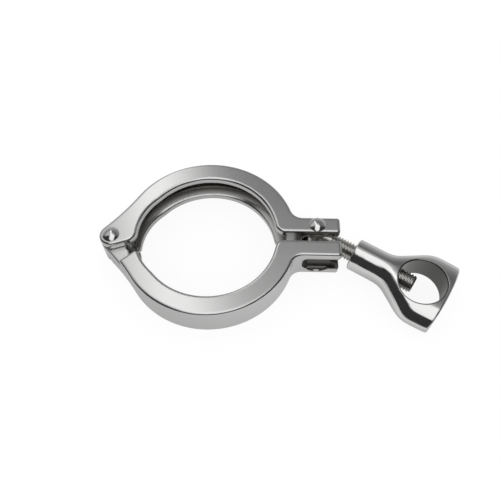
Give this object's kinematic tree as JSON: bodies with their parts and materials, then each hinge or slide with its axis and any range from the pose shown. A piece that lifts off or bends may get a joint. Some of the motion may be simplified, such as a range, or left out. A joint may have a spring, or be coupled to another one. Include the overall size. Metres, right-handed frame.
{
  "type": "sanitary hinged clamp",
  "caption": "Hinged two-part clamp whose V-shaped inner groove draws the rims of two sanitary ferrules together, closed by a swing bolt and a winged nut.",
  "frame": {"origin": "centre of the ferrule groove, on the ring's axis", "axes": "+Z along the ring's axis, out of the side with the rivet heads; hinge towards -X, lugs towards +X"},
  "size_m": [0.1832, 0.0921, 0.0201],
  "materials": {
    "cast_halves": "satin, with polished edges",
    "rivets": "polished",
    "bolt": "bright, as turned",
    "nut": "mirror polished"
  },
  "bodies": {
    "rear": {"rear_half": "cast_halves", "hinge_rivet": "rivets", "bolt_rivet": "rivets"},
    "front": {"front_half": "cast_halves"},
    "bolt": {"eye_bolt": "bolt"},
    "nut": {"wing_nut": "nut"}
  },
  "joints": [
    {"name": "clamp_hinge", "type": "hinge", "parent": "rear", "child": "front", "pos_m": [-0.0498, -0.0014, 0], "axis": [0, 0, 1], "range_deg": [-125, 2]},
    {"name": "bolt_swing", "type": "hinge", "parent": "rear", "child": "bolt", "pos_m": [0.0557, 0.00685, 0], "axis": [0, 0, 1], "range_deg": [-59, 121]},
    {"name": "nut_turn", "type": "hinge", "parent": "bolt", "child": "nut", "pos_m": [0.0557, 0.00685, 0], "axis": [0.8572, -0.515, 0], "continuous": true}
  ]
}
